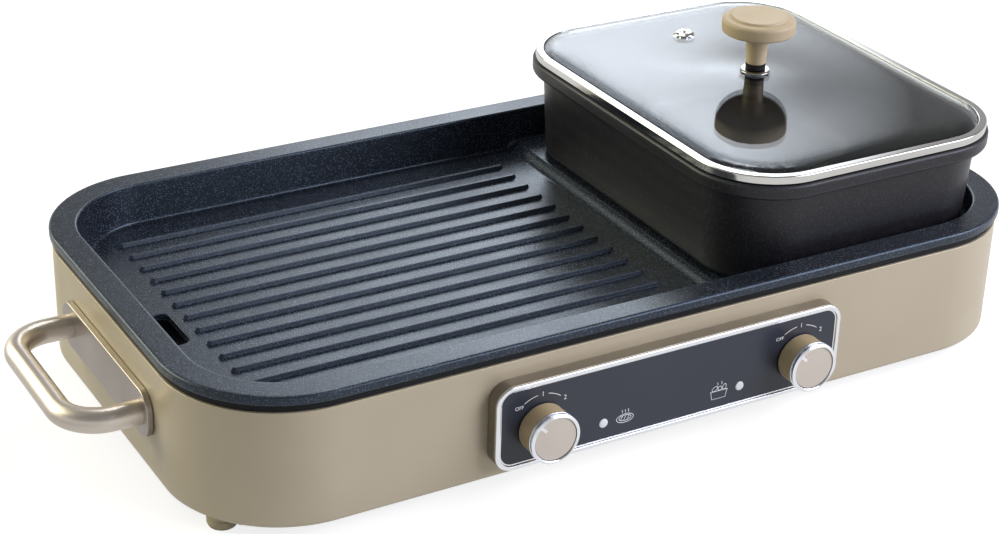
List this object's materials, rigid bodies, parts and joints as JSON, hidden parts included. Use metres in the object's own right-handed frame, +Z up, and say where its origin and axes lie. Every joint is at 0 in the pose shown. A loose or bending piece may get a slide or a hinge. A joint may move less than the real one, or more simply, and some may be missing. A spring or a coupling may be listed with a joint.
{
  "type": "hot pot grill combo",
  "caption": "Table-top electric grill and hot pot: heated champagne base with end handles and a knob panel, lift-off ribbed plate, rectangular pot with a ringed glass lid.",
  "frame": {"origin": "on the table, under the middle of the whole part's bounding box", "axes": "+X along the length towards the pot's end, -Y out of the control panel, +Z up"},
  "size_m": [0.7036, 0.351, 0.2022],
  "materials": {
    "champagne_paint": "satin champagne paint",
    "black_sheet": "matt black paint",
    "rubber_feet": "matt",
    "zinc_steel": "zinc plated",
    "dark_silicone": "matt",
    "aluminised_sheet": "bright rolled sheet",
    "heater_metal": "heat darkened",
    "black_plastic": "matt",
    "satin_nickel": "satin champagne nickel",
    "panel_paint": "satin grey champagne",
    "bright_trim": "mirror bright",
    "panel_slate": "semi gloss",
    "lamp_lens": "translucent white",
    "champagne_metal": "satin anodised",
    "knob_face": "satin anodised",
    "non_stick_slate": "non-stick coating with a fine speckle",
    "pot_coating": "matt non-stick coating",
    "tempered_glass": "clear",
    "stainless": "bright",
    "beige_plastic": "satin"
  },
  "bodies": {
    "base": {"base_shell": "champagne_paint", "bottom_cover": "black_sheet", "foot_front_left": "rubber_feet", "foot_front_right": "rubber_feet", "foot_back_left": "rubber_feet", "foot_back_right": "rubber_feet", "cover_screw_front_left": "zinc_steel", "cover_screw_front_right": "zinc_steel", "cover_screw_back_left": "zinc_steel", "cover_screw_back_right": "zinc_steel", "plate_collar": "dark_silicone", "heat_shield": "aluminised_sheet", "grill_heater": "heater_metal", "pot_heater": "heater_metal", "grill_heater_rail_left": "aluminised_sheet", "grill_heater_rail_right": "aluminised_sheet", "pot_heater_rail_left": "aluminised_sheet", "pot_heater_rail_right": "aluminised_sheet", "drip_cup": "aluminised_sheet", "cord_gland": "black_plastic", "terminal_block": "black_plastic", "handle_plate_left": "satin_nickel", "handle_plate_right": "satin_nickel", "handle_bar_left": "satin_nickel", "handle_bar_right": "satin_nickel", "handle_screw_left_front": "zinc_steel", "handle_screw_left_back": "zinc_steel", "handle_screw_right_front": "zinc_steel", "handle_screw_right_back": "zinc_steel", "panel_housing": "panel_paint", "panel_trim_ring": "bright_trim", "panel_face": "panel_slate", "lamp_left": "lamp_lens", "lamp_right": "lamp_lens", "panel_screw_left": "zinc_steel", "panel_screw_right": "zinc_steel", "switch_left": "black_plastic", "switch_right": "black_plastic"},
    "knob_left": {"knob_left_barrel": "champagne_metal", "knob_left_ring": "bright_trim", "knob_left_cap": "knob_face", "knob_left_shaft": "zinc_steel"},
    "knob_right": {"knob_right_barrel": "champagne_metal", "knob_right_ring": "bright_trim", "knob_right_cap": "knob_face", "knob_right_shaft": "zinc_steel"},
    "plate": {"grill_plate": "non_stick_slate"},
    "pot": {"pot": "pot_coating"},
    "lid": {"lid_glass": "tempered_glass", "lid_ring": "stainless", "lid_vent": "stainless", "lid_seat": "stainless", "lid_washer": "dark_silicone", "lid_knob": "beige_plastic", "lid_knob_screw": "zinc_steel"}
  },
  "joints": [
    {"name": "knob_left_turn", "type": "hinge", "parent": "base", "child": "knob_left", "pos_m": [-0.094, -0.15855, 0.0433], "axis": [0, 1, 0], "range_deg": [0, 90]},
    {"name": "knob_right_turn", "type": "hinge", "parent": "base", "child": "knob_right", "pos_m": [0.094, -0.15855, 0.0433], "axis": [0, 1, 0], "range_deg": [0, 90]},
    {"name": "plate_lift", "type": "slide", "parent": "base", "child": "plate", "axis": [0, 0, 1], "range_m": [0, 0.1]},
    {"name": "pot_lift", "type": "slide", "parent": "plate", "child": "pot", "axis": [0, 0, 1], "range_m": [0, 0.12]},
    {"name": "lid_lift", "type": "slide", "parent": "pot", "child": "lid", "axis": [0, 0, 1], "range_m": [0, 0.1]}
  ]
}
